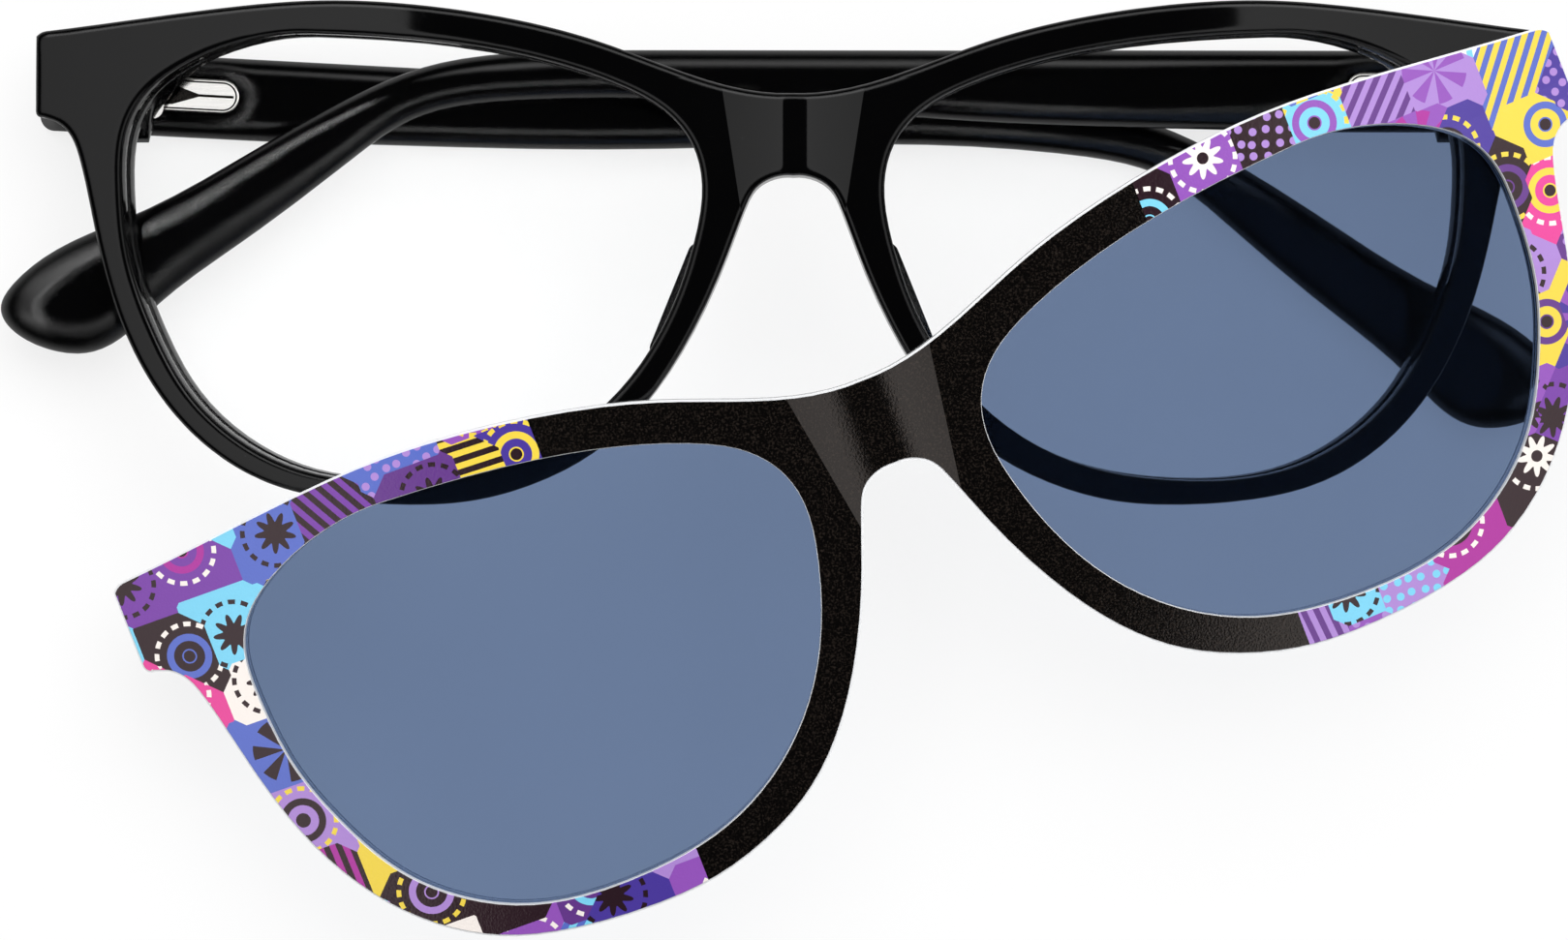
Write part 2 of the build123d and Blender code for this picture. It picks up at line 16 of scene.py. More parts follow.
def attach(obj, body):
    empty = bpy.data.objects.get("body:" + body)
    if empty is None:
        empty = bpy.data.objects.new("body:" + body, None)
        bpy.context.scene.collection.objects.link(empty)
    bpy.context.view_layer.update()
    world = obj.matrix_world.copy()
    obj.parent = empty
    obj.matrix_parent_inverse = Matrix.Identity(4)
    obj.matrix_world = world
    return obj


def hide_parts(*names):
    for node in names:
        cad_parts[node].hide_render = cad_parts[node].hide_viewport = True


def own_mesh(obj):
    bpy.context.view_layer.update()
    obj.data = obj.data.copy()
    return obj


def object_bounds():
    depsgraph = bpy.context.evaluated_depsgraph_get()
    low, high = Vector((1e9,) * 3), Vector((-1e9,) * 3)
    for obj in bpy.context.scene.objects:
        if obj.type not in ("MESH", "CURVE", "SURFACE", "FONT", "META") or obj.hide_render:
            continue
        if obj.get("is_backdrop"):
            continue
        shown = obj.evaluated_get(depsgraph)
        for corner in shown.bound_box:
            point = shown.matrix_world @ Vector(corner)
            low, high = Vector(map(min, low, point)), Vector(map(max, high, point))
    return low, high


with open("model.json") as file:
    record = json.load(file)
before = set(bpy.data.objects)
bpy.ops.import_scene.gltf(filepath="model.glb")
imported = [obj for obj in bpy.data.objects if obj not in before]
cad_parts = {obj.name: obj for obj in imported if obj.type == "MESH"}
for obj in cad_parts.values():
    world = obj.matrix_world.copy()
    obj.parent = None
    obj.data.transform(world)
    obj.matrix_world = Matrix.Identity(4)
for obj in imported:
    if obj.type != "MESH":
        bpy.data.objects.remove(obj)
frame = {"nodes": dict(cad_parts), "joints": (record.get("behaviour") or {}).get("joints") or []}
cad_low, cad_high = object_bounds()
nodes = frame["nodes"]
joints = {joint["name"]: joint for joint in frame["joints"]}

# %% [markdown]
# ## The two curved faces
# The face of the frame is part of a sphere, and the clip is a shell round the same centre.
# The print and the polish follow directions along these faces. They could be typed in as
# numbers, but then they would be wrong as soon as the frame lay differently. So they are
# worked out here, from the hinge pins and from the joint that the clip swings on.

# %% Directions of the frame and of the clip
MM = 0.001
AXIS_DROP = 21.0  # mm, from the top of the front down to the middle of its face
PIN_DROP = 4.45  # mm, from the top of the front down to the hinge pins
PIN_DEPTH = 17.0  # mm, from the middle of the face back to the hinge pins
SWING_ANGLE = 22.4  # degrees that the clip is turned round its corner

left_pin = Vector(joints["temple_left_fold"]["pos_m"])
right_pin = Vector(joints["temple_right_fold"]["pos_m"])
across = (right_pin - left_pin).normalized()
brow_way = Vector((0, 1, 0))
upward = across.cross(brow_way).normalized()
pins_middle = (left_pin + right_pin) / 2
face_middle = pins_middle + brow_way * (PIN_DROP - AXIS_DROP) * MM + upward * PIN_DEPTH * MM

swing = joints["clip_swing"]
swing_turn = Matrix.Rotation(math.radians(SWING_ANGLE), 3, Vector(swing["axis"]))
swing_place = Vector(swing["pos_m"])
clip_across = swing_turn @ across
clip_brow = swing_turn @ brow_way
clip_middle = swing_place + swing_turn @ (face_middle - swing_place)
for label, point in (("face", face_middle), ("clip", clip_middle)):
    print(label, "middle", [round(v, 4) for v in point])

# %% [markdown]
# ## Small helpers for node trees
# A material is a graph of small steps, which could be drawn by hand in the shader editor.
# In a script each step would take five lines, so these helpers put a node, its settings and
# its links on one line.

# %% Helpers for nodes
def feed(tree, socket, value):
    """Links a socket where the value is another socket, and otherwise sets it."""
    if isinstance(value, bpy.types.NodeSocket):
        tree.links.new(value, socket)
    else:
        socket.default_value = value


def add_node(tree, kind, inputs=None, **settings):
    node = tree.nodes.new(kind)
    for name, value in settings.items():
        setattr(node, name, value)
    for key, value in (inputs or {}).items():
        feed(tree, node.inputs[key], value)
    return node


def maths(tree, operation, first, second=0.0, third=0.0):
    inputs = {0: first, 1: second, 2: third}
    return add_node(tree, "ShaderNodeMath", inputs, operation=operation).outputs[0]


def vector_maths(tree, operation, first, second, out="Vector"):
    inputs = {0: first, 1: second}
    return add_node(tree, "ShaderNodeVectorMath", inputs, operation=operation).outputs[out]


def blend_colour(tree, factor, first, second):
    mix = add_node(tree, "ShaderNodeMix", data_type="RGBA", blend_type="MIX")
    for number, value in ((0, factor), (6, first), (7, second)):
        feed(tree, mix.inputs[number], value)
    return mix.outputs[2]


print("node helpers ready")

# %% Helpers for groups and materials
def new_group(name, inputs, outputs):
    group = bpy.data.node_groups.new(name, "ShaderNodeTree")
    for label, kind, value in inputs:
        socket = group.interface.new_socket(name=label, in_out="INPUT", socket_type=kind)
        socket.default_value = value
    for label, kind in outputs:
        group.interface.new_socket(name=label, in_out="OUTPUT", socket_type=kind)
    return group, group.nodes.new("NodeGroupInput"), group.nodes.new("NodeGroupOutput")


def place_group(tree, group, inputs):
    return add_node(tree, "ShaderNodeGroup", inputs, node_tree=group)


def new_material(name, colour, roughness):
    material = bpy.data.materials.new(name)
    material.use_nodes = True
    shader = material.node_tree.nodes["Principled BSDF"]
    shader.inputs["Base Color"].default_value = (*colour, 1)
    shader.inputs["Roughness"].default_value = roughness
    return material, material.node_tree, shader


def place_in_mm(tree):
    """The point on the piece, in millimetres."""
    where = add_node(tree, "ShaderNodeTexCoord").outputs["Object"]
    inputs = {0: where, "Scale": 1000.0}
    return add_node(tree, "ShaderNodeVectorMath", inputs, operation="SCALE").outputs[0]


print("group and material helpers ready")

# %% [markdown]
# ## Handling marks
# Polished acetate, lenses and steel all carry the same traces of handling: a haze that
# changes the gloss a little from place to place, hairline scratches in many directions, and
# a few specks of dust. Painted maps could show them, but they would need a picture file and
# a resolution. One group of noise and cell textures makes all three at any size, and each
# material takes its own share.

# %% Handling group
SCRATCH_WIDTH = 0.006
SPECK_RADIUS = 0.035

handling, marks_in, marks_out = new_group(
    "Handling",
    [
        ("Place", "NodeSocketVector", (0, 0, 0)),
        ("Haze", "NodeSocketFloat", 0.03),
        ("Scratches", "NodeSocketFloat", 0.05),
        ("Gloss", "NodeSocketFloat", 0.1),
    ],
    [
        ("Roughness", "NodeSocketFloat"),
        ("Relief", "NodeSocketFloat"),
        ("Dust", "NodeSocketFloat"),
    ],
)
marks_place = marks_in.outputs["Place"]
haze = add_node(
    handling, "ShaderNodeTexNoise", {"Vector": marks_place, "Scale": 0.09, "Detail": 4.0}
)
hair = add_node(
    handling, "ShaderNodeTexNoise", {"Vector": marks_place, "Scale": 0.5, "Detail": 1.0}
)
bent_place = add_node(
    handling, "ShaderNodeVectorMath",
    {0: hair.outputs["Color"], 1: (3.0, 3.0, 3.0), 2: marks_place}, operation="MULTIPLY_ADD",
).outputs[0]
scratch_cells = add_node(
    handling, "ShaderNodeTexVoronoi", {"Vector": bent_place, "Scale": 0.35},
    feature="DISTANCE_TO_EDGE",
)
scratch = maths(handling, "LESS_THAN", scratch_cells.outputs["Distance"], SCRATCH_WIDTH)
specks = add_node(handling, "ShaderNodeTexVoronoi", {"Vector": marks_place, "Scale": 0.4})
dust = maths(handling, "LESS_THAN", specks.outputs["Distance"], SPECK_RADIUS)
print("group", handling.name, "nodes", len(handling.nodes))

# %% Gloss that the marks leave
haze_part = maths(handling, "MULTIPLY", haze.outputs["Fac"], marks_in.outputs["Haze"])
scratch_part = maths(handling, "MULTIPLY", scratch, marks_in.outputs["Scratches"])
both_parts = maths(handling, "ADD", haze_part, scratch_part)
rough = maths(handling, "ADD", both_parts, marks_in.outputs["Gloss"])
for label, value in (("Roughness", rough), ("Relief", haze.outputs["Fac"]), ("Dust", dust)):
    handling.links.new(value, marks_out.inputs[label])


def add_marks(tree, shader, haze, scratches, gloss):
    """Places the handling marks in a material, and gives their gloss to its shader."""
    marks = place_group(
        tree, handling,
        {"Place": place_in_mm(tree), "Haze": haze, "Scratches": scratches, "Gloss": gloss},
    )
    tree.links.new(marks.outputs["Roughness"], shader.inputs["Roughness"])
    return marks


print("group", handling.name, "nodes", len(handling.nodes))

# %% [markdown]
# ## Along and across a front
# The film's pattern and the bend of the bridge are laid out from the middle of a front: one
# number along the lenses and one towards the brow. A UV map would do this too, but it would
# have to be laid out for every piece. Dot products with the front's own directions give both
# numbers in millimetres, on any mesh.

# %% Layout group
layout, layout_in, layout_out = new_group(
    "Layout",
    [
        ("Place", "NodeSocketVector", (0, 0, 0)),
        ("Middle", "NodeSocketVector", (0, 0, 0)),
        ("Across", "NodeSocketVector", (1, 0, 0)),
        ("Brow", "NodeSocketVector", (0, 1, 0)),
    ],
    [
        ("Along", "NodeSocketFloat"),
        ("Up", "NodeSocketFloat"),
        ("Flat", "NodeSocketVector"),
    ],
)
from_middle = vector_maths(
    layout, "SUBTRACT", layout_in.outputs["Place"], layout_in.outputs["Middle"]
)
along, up = (
    vector_maths(layout, "DOT_PRODUCT", from_middle, layout_in.outputs[way], "Value")
    for way in ("Across", "Brow")
)
flat = add_node(layout, "ShaderNodeCombineXYZ", {0: along, 1: up}).outputs[0]
for label, value in (("Along", along), ("Up", up), ("Flat", flat)):
    layout.links.new(value, layout_out.inputs[label])


def front_layout(tree, middle, way, brow):
    return place_group(
        tree, layout,
        {"Place": place_in_mm(tree), "Middle": middle / MM, "Across": way, "Brow": brow},
    )


print("group", layout.name, "nodes", len(layout.nodes))

# %% [markdown]
# ## Bend of the bridge
# The bridge of both fronts is bent more tightly than the rest, which shows only in the grey
# bands that it mirrors. The solids leave that bend out, because it would upset the two
# shells round one centre that the clip slides on. A smooth relief for a Bump node gives the
# same bands: it falls away on both sides of the middle, by about fifteen degrees, and ends
# at a crease that lies further out towards the brow.

# %% Bend of the bridge
BRIDGE_LOW, BRIDGE_HIGH = 2.0, 17.0  # mm above the middle, where the taper starts and ends
BRIDGE_BULGE = 0.01

bridge_bend, bend_in, bend_out = new_group(
    "Bridge bend",
    [
        ("Along", "NodeSocketFloat", 0.0),
        ("Up", "NodeSocketFloat", 0.0),
        ("Reach", "NodeSocketFloat", 4.1),
        ("Taper", "NodeSocketFloat", 0.155),
        ("Slope", "NodeSocketFloat", 0.26),
        ("Round", "NodeSocketFloat", 1.1),
    ],
    [("Height", "NodeSocketFloat")],
)


def bend_maths(operation, *values):
    return maths(bridge_bend, operation, *values)


above_low = bend_maths("MAXIMUM", bend_in.outputs["Up"], BRIDGE_LOW)
kept_up = bend_maths("MINIMUM", above_low, BRIDGE_HIGH)
crease = bend_maths(
    "MULTIPLY_ADD", kept_up, bend_in.outputs["Taper"], bend_in.outputs["Reach"]
)
kept_along = bend_maths("MINIMUM", bend_maths("ABSOLUTE", bend_in.outputs["Along"]), crease)
squared = bend_maths("MULTIPLY", kept_along, kept_along)
crown = bend_maths("SQRT", bend_maths("ADD", squared, bend_in.outputs["Round"]))
bulge = bend_maths("MULTIPLY", squared, BRIDGE_BULGE)
fall = bend_maths("MULTIPLY_ADD", crown, bend_in.outputs["Slope"], bulge)
bridge_bend.links.new(bend_maths("MULTIPLY", fall, -1.0), bend_out.inputs["Height"])


def bend_of_bridge(tree, spot, reach, roundness):
    inputs = {label: spot.outputs[label] for label in ("Along", "Up")}
    inputs.update({"Reach": reach, "Round": roundness})
    return place_group(tree, bridge_bend, inputs).outputs["Height"]


print("group", bridge_bend.name, "nodes", len(bridge_bend.nodes))

# %% [markdown]
# ## Black acetate
# Frames like this are cut from acetate sheet, bent over a former and tumbled until they
# shine. The black is deep, the gloss is not quite even, and the tumbling leaves a very soft
# waviness and rounds every edge. The edges of the solids are tighter than that, and a packed
# mesh is never changed here. A Bevel node turns the normals near an edge instead: a little
# on the front, and far more on the temples, most of all towards their lower edge.

# %% Tumbled surface group
tumbled, tumbled_in, tumbled_out = new_group(
    "Tumbled surface",
    [
        ("Place", "NodeSocketVector", (0, 0, 0)),
        ("Wave", "NodeSocketFloat", 0.02),
        ("Shape", "NodeSocketFloat", 0.0),
        ("Rounding", "NodeSocketFloat", 0.8 * MM),
    ],
    [("Height", "NodeSocketFloat"), ("Normal", "NodeSocketVector")],
)
wave = add_node(
    tumbled, "ShaderNodeTexNoise",
    {"Vector": tumbled_in.outputs["Place"], "Scale": 0.12, "Detail": 1.0},
).outputs["Fac"]
wavy = maths(
    tumbled, "MULTIPLY_ADD", wave, tumbled_in.outputs["Wave"], tumbled_in.outputs["Shape"]
)
rounded = add_node(
    tumbled, "ShaderNodeBevel", {"Radius": tumbled_in.outputs["Rounding"]}, samples=20
).outputs[0]
tumbled.links.new(wavy, tumbled_out.inputs["Height"])
tumbled.links.new(rounded, tumbled_out.inputs["Normal"])
print("group", tumbled.name, "nodes", len(tumbled.nodes))

# %% Acetate
DEEP_BLACK = (0.0003, 0.0003, 0.0004, 1)
WORN_BLACK = (0.001, 0.001, 0.0012, 1)
DUST_GREY = (0.008, 0.008, 0.0085, 1)
WAVE_HEIGHT = 0.02  # mm
FRONT_ROUNDING = 0.8 * MM
BAR_ROUNDING = {"From Min": 4.0, "From Max": 11.0, "To Min": 4.6 * MM, "To Max": 2.8 * MM}


def acetate_material(name, is_front):
    material, tree, shader = new_material(name, (0.0006, 0.0006, 0.0007), 0.04)
    spot = front_layout(tree, face_middle, across, brow_way)
    marks = add_marks(tree, shader, haze=0.04, scratches=0.03, gloss=0.03)
    black = blend_colour(tree, marks.outputs["Relief"], DEEP_BLACK, WORN_BLACK)
    dusty = blend_colour(tree, marks.outputs["Dust"], black, DUST_GREY)
    tree.links.new(dusty, shader.inputs["Base Color"])
    if is_front:
        shape = bend_of_bridge(tree, spot, reach=4.1, roundness=1.1)
        rounding = FRONT_ROUNDING
    else:
        shape = 0.0
        inputs = {"Value": spot.outputs["Up"], **BAR_ROUNDING}
        rounding = add_node(tree, "ShaderNodeMapRange", inputs).outputs[0]
    surface = place_group(tree, tumbled, {
        "Place": place_in_mm(tree), "Wave": WAVE_HEIGHT, "Shape": shape, "Rounding": rounding,
    }).outputs
    bump = add_node(tree, "ShaderNodeBump", {
        "Strength": 1.0, "Distance": MM, "Height": surface["Height"],
        "Normal": surface["Normal"],
    })
    tree.links.new(bump.outputs["Normal"], shader.inputs["Normal"])
    return material


front_acetate = acetate_material("front_acetate", is_front=True)
bar_acetate = acetate_material("temple_acetate", is_front=False)
print("materials", front_acetate.name, bar_acetate.name)

# %% [markdown]
# ## Lenses
# The frame's own lenses are clear demonstration lenses, and the clip's are flat blue-grey.
# A transparent shader alone would show no gloss, so both refract, with a low index that
# hardly shifts what lies below. A refracting shader keeps the lamps from what it covers, so
# Light Path lets every ray that only looks for a shadow pass straight on. Mirrored rays pass
# the clear lenses too, because lamps that are linked to a few pieces are lost to them behind
# a refracting lens. The tint is written as the colour that is left after passing through.

# %% Cloud group
cloud, cloud_in, cloud_out = new_group(
    "Cloud",
    [
        ("Place", "NodeSocketVector", (0, 0, 0)),
        ("Tint", "NodeSocketColor", (1, 1, 1, 1)),
        ("Lighter", "NodeSocketColor", (1, 1, 1, 1)),
    ],
    [("Color", "NodeSocketColor")],
)
cloud_noise = add_node(
    cloud, "ShaderNodeTexNoise",
    {"Vector": cloud_in.outputs["Place"], "Scale": 0.05, "Detail": 2.0},
).outputs["Fac"]
clouded = blend_colour(
    cloud, cloud_noise, cloud_in.outputs["Tint"], cloud_in.outputs["Lighter"]
)
cloud.links.new(clouded, cloud_out.inputs["Color"])
print("group", cloud.name, "nodes", len(cloud.nodes))

# %% Lens materials
CLOUD_LIFT = 1.06


def lens_material(name, tint, shade, gloss, haze, bending, passes_reflections):
    material, tree, shader = new_material(name, tint, gloss)
    shader.inputs["Transmission Weight"].default_value = 1.0
    shader.inputs["IOR"].default_value = bending
    add_marks(tree, shader, haze=haze, scratches=0.01, gloss=gloss)
    lighter = tuple(min(1.0, part * CLOUD_LIFT) for part in tint)
    body = place_group(
        tree, cloud,
        {"Place": place_in_mm(tree), "Tint": (*tint, 1), "Lighter": (*lighter, 1)},
    )
    tree.links.new(body.outputs["Color"], shader.inputs["Base Color"])
    clear = add_node(tree, "ShaderNodeBsdfTransparent", {"Color": (*shade, 1)})
    path = add_node(tree, "ShaderNodeLightPath")
    passes = path.outputs["Is Shadow Ray"]
    if passes_reflections:
        passes = maths(tree, "MAXIMUM", passes, path.outputs["Is Glossy Ray"])
    either = add_node(
        tree, "ShaderNodeMixShader", {0: passes, 1: shader.outputs[0], 2: clear.outputs[0]}
    )
    tree.links.new(either.outputs[0], tree.nodes["Material Output"].inputs["Surface"])
    return material


clear_lens = lens_material(
    "clear_lens", tint=(0.985, 0.99, 0.99), shade=(0.99, 0.99, 0.99),
    gloss=0.0, haze=0.003, bending=1.02, passes_reflections=True,
)
tinted_lens = lens_material(
    "tinted_lens", tint=(0.149, 0.207, 0.332), shade=(0.92, 0.94, 0.97),
    gloss=0.02, haze=0.02, bending=1.2, passes_reflections=False,
)
print("materials", clear_lens.name, tinted_lens.name)

# %% [markdown]
# ## The clip's plate
# The plate is milky clear plastic, and shows only as a thin white line round the film. A
# refracting shader would be slow and noisy in so thin a wall. A pale body with a little
# subsurface light looks the same at this size.

# %% Plate of the clip
plate_white, tree, shader = new_material("clip_plate", (0.86, 0.87, 0.88), 0.3)
shader.inputs["Subsurface Weight"].default_value = 0.15
shader.inputs["Subsurface Radius"].default_value = (0.0015, 0.0015, 0.0015)
marks = add_marks(tree, shader, haze=0.15, scratches=0.1, gloss=0.22)
milky = blend_colour(
    tree, marks.outputs["Relief"], (0.80, 0.81, 0.83, 1), (0.90, 0.91, 0.92, 1)
)
tree.links.new(milky, shader.inputs["Base Color"])
print("material", plate_white.name)

# %% [markdown]
# ## The printed film
# The film is near black with a fine speckle in the middle, and carries a patchwork on the
# outer part of each side, cut off straight. A picture would be the usual way to print it,
# but it would blur when looked at closely. So the shader draws it: squarish patches come
# from a Voronoi texture with square distances, and each patch picks its colours and one
# motif by its own random numbers.

# %% Colours of the patchwork
INK_BLACK = (0.024, 0.010, 0.016)
PALETTE = [
    (0.070, 0.041, 0.332), (0.195, 0.051, 0.392), (0.434, 0.030, 0.347),
    (0.807, 0.061, 0.332), (0.434, 0.254, 0.672), (0.212, 0.672, 0.913),
    (0.102, 0.159, 0.578), (0.913, 0.686, 0.070), (0.965, 0.896, 0.847),
    INK_BLACK, (0.300, 0.090, 0.500), (0.130, 0.040, 0.255),
]


def palette_ramp(tree, draw, colours):
    """Turns a random number from 0 to 1 into one of the colours."""
    ramp = add_node(tree, "ShaderNodeValToRGB", {"Fac": draw})
    elements = ramp.color_ramp.elements
    ramp.color_ramp.interpolation = "CONSTANT"
    while len(elements) < len(colours):
        elements.new(0.5)
    for k, (element, colour) in enumerate(zip(elements, colours)):
        element.position = k / len(colours)
        element.color = (*colour, 1)
    return ramp.outputs["Color"]


print("palette", len(PALETTE))

# %% Patchwork group
patchwork, patch_in, patch_out = new_group(
    "Patchwork",
    [("Flat", "NodeSocketVector", (0, 0, 0)), ("Patch", "NodeSocketFloat", 6.0)],
    [("Color", "NodeSocketColor")],
)
flat_place = patch_in.outputs["Flat"]
per_mm = maths(patchwork, "DIVIDE", 1.0, patch_in.outputs["Patch"])
cells = add_node(
    patchwork, "ShaderNodeTexVoronoi",
    {"Vector": flat_place, "Scale": per_mm, "Randomness": 0.8},
    voronoi_dimensions="2D", distance="CHEBYCHEV",
)
draws = add_node(patchwork, "ShaderNodeSeparateColor", {0: cells.outputs["Color"]})
first_draw, second_draw, third_draw = draws.outputs
ground = palette_ramp(patchwork, first_draw, PALETTE)
ink = palette_ramp(patchwork, second_draw, PALETTE[5:] + PALETTE[2:5])
accent = palette_ramp(patchwork, third_draw, PALETTE[7:10] + PALETTE[3:6])
print("patches", cells.distance, "nodes", len(patchwork.nodes))

# %% Place inside a patch
FULL_TURN = 6.28

in_cell = vector_maths(patchwork, "SUBTRACT", flat_place, cells.outputs["Position"])
radius = vector_maths(patchwork, "LENGTH", in_cell, (0, 0, 0), "Value")
sides = add_node(patchwork, "ShaderNodeSeparateXYZ", {0: in_cell})
angle = maths(patchwork, "ARCTAN2", sides.outputs[1], sides.outputs[0])
turn = maths(patchwork, "MULTIPLY", second_draw, FULL_TURN)
turned = add_node(
    patchwork, "ShaderNodeVectorRotate", {"Vector": in_cell, "Angle": turn},
    rotation_type="Z_AXIS",
).outputs[0]
turned_across = add_node(patchwork, "ShaderNodeSeparateXYZ", {0: turned}).outputs[0]
print("group", patchwork.name, "nodes", len(patchwork.nodes))

# %% [markdown]
# Each motif is a mask made from the place inside the patch. Rings come from the distance to
# the middle of the patch, petals, fans and beads from the angle round it, stripes from a
# turned direction, and dots from a finer set of cells.

# %% Motifs of the patchwork
def waves(value, rate):
    return maths(patchwork, "SINE", maths(patchwork, "MULTIPLY", value, rate))


def beyond(value, edge):
    return maths(patchwork, "GREATER_THAN", value, edge)


def within(value, edge):
    return maths(patchwork, "LESS_THAN", value, edge)


def both(first_mask, second_mask):
    return maths(patchwork, "MULTIPLY", first_mask, second_mask)


EYE_RADIUS, RINGS_RADIUS, FAN_RADIUS = 0.55, 2.6, 3.1  # mm
BEADS_RADIUS, BEADS_WIDTH = 3.05, 0.22  # mm

rings = both(beyond(waves(radius, 4.4), 0.1), within(radius, RINGS_RADIUS))
petal_edge = maths(patchwork, "MULTIPLY_ADD", waves(angle, 9.0), 0.45, 1.5)
petals = within(radius, petal_edge)
stripes = beyond(waves(turned_across, 5.5), 0.0)
fan = both(beyond(waves(angle, 7.0), 0.0), within(radius, FAN_RADIUS))
beads_band = maths(patchwork, "COMPARE", radius, BEADS_RADIUS, BEADS_WIDTH)
beads = both(beyond(waves(angle, 16.0), -0.2), beads_band)
fine_cells = add_node(
    patchwork, "ShaderNodeTexVoronoi",
    {"Vector": turned, "Scale": 0.8, "Randomness": 0.25}, voronoi_dimensions="2D",
)
dots = within(fine_cells.outputs["Distance"], 0.3)
print("group", patchwork.name, "with the motifs, nodes", len(patchwork.nodes))

# %% Choice of the motif
ROUND_SHARE = 0.5  # of the patches have a round motif with beads and an eye
MOTIFS = (
    (rings, 0.0, 0.3, ink),
    (petals, 0.3, 0.5, accent),
    (stripes, 0.5, 0.68, ink),
    (dots, 0.68, 0.86, accent),
    (fan, 0.86, 1.0, ink),
    (beads, 0.0, ROUND_SHARE, accent),
)
colour = ground
for mask, low, high, paint in MOTIFS:
    picked = both(beyond(third_draw, low), within(third_draw, high))
    colour = blend_colour(patchwork, both(mask, picked), colour, paint)
eye = both(within(radius, EYE_RADIUS), within(third_draw, ROUND_SHARE))
colour = blend_colour(patchwork, eye, colour, (*INK_BLACK, 1))
patchwork.links.new(colour, patch_out.inputs["Color"])
print("group", patchwork.name, "motifs", len(MOTIFS), "nodes", len(patchwork.nodes))

# %% Printed film
PRINT_STARTS = 30.0  # mm from the middle of the clip
PATCH_SIZE = 6.5  # mm
SPECKLE_HEIGHT = 0.018  # mm
FILM_BLACK = (0.0012, 0.0010, 0.0010, 1)
SPECKLE_BROWN = (0.020, 0.015, 0.012, 1)

film, tree, shader = new_material("printed_film", (0.02, 0.018, 0.018), 0.5)
shader.inputs["Specular IOR Level"].default_value = 0.8
shader.inputs["Specular Tint"].default_value = (1.0, 0.9, 0.85, 1)
add_marks(tree, shader, haze=0.05, scratches=0.01, gloss=0.1)
spot = front_layout(tree, clip_middle, clip_across, clip_brow)
pattern = place_group(tree, patchwork, {"Flat": spot.outputs["Flat"], "Patch": PATCH_SIZE})
from_side = maths(tree, "ABSOLUTE", spot.outputs["Along"])
outer = maths(tree, "GREATER_THAN", from_side, PRINT_STARTS)
speckle = add_node(
    tree, "ShaderNodeTexNoise", {"Vector": place_in_mm(tree), "Scale": 5.0, "Detail": 2.0}
).outputs["Fac"]
speckle_share = add_node(
    tree, "ShaderNodeMapRange", {"Value": speckle, "From Min": 0.5, "From Max": 0.72}
).outputs[0]
plain = blend_colour(tree, speckle_share, FILM_BLACK, SPECKLE_BROWN)
printed = blend_colour(tree, outer, plain, pattern.outputs["Color"])
tree.links.new(printed, shader.inputs["Base Color"])
bend = bend_of_bridge(tree, spot, reach=4.45, roundness=7.0)
film_height = maths(tree, "MULTIPLY_ADD", speckle, SPECKLE_HEIGHT, bend)
grain = add_node(
    tree, "ShaderNodeBump", {"Strength": 1.0, "Distance": MM, "Height": film_height}
)
tree.links.new(grain.outputs["Normal"], shader.inputs["Normal"])
print("material", film.name, "patch", PATCH_SIZE, "mm")

# %% [markdown]
# ## Metal
# The hinge parts are polished steel. A fine grain runs along each piece, made by stretching
# a noise, and handling breaks the gloss. The springs are drawn wire, a little darker, and
# the magnets are nickel plated. The face of each spring case is bright, and everything
# deeper than the face, the border and the V slot cut into it, is coloured dark brown by its
# height: painted shade in the recesses.

# %% Metal grain group
metal_grain, grain_in, grain_out = new_group(
    "Metal grain",
    [("Place", "NodeSocketVector", (0, 0, 0)), ("Stretch", "NodeSocketVector", (1, 1, 1))],
    [("Grain", "NodeSocketFloat")],
)
stretched = vector_maths(
    metal_grain, "MULTIPLY", grain_in.outputs["Place"], grain_in.outputs["Stretch"]
)
grain_noise = add_node(
    metal_grain, "ShaderNodeTexNoise", {"Vector": stretched, "Scale": 3.0, "Detail": 3.0}
).outputs["Fac"]
metal_grain.links.new(grain_noise, grain_out.inputs["Grain"])
print("group", metal_grain.name, "nodes", len(metal_grain.nodes))

# %% Metal materials
# Painted shade: the dark brown that the recesses of the spring cases get.
PAINTED_RECESS_SHADE = (0.012, 0.011, 0.010, 1)


def metal_material(name, bright, dark, gloss, grain_way, recess_below=None):
    material, tree, shader = new_material(name, bright, gloss)
    shader.inputs["Metallic"].default_value = 1.0
    grain = place_group(
        tree, metal_grain, {"Place": place_in_mm(tree), "Stretch": grain_way}
    ).outputs["Grain"]
    body = blend_colour(tree, grain, (*dark, 1), (*bright, 1))
    # Painted shade: every point lower than recess_below gets the dark brown, as if in shadow.
    if recess_below is not None:
        height = add_node(tree, "ShaderNodeSeparateXYZ", {0: place_in_mm(tree)}).outputs[2]
        recess = maths(tree, "LESS_THAN", height, recess_below)
        body = blend_colour(tree, recess, body, PAINTED_RECESS_SHADE)
    tree.links.new(body, shader.inputs["Base Color"])
    add_marks(tree, shader, haze=0.06, scratches=0.08, gloss=gloss)
    bump = add_node(
        tree, "ShaderNodeBump", {"Strength": 0.03, "Distance": 0.1 * MM, "Height": grain}
    )
    tree.links.new(bump.outputs["Normal"], shader.inputs["Normal"])
    return material


print("metal ready")

# %% Steel, wire and nickel
# Below this height the steel of each case gets the painted shade.
RECESS_BELOW_PIN = 1.06  # mm, just under the face of the case
LONG_GRAIN = (0.15, 3.0, 3.0)

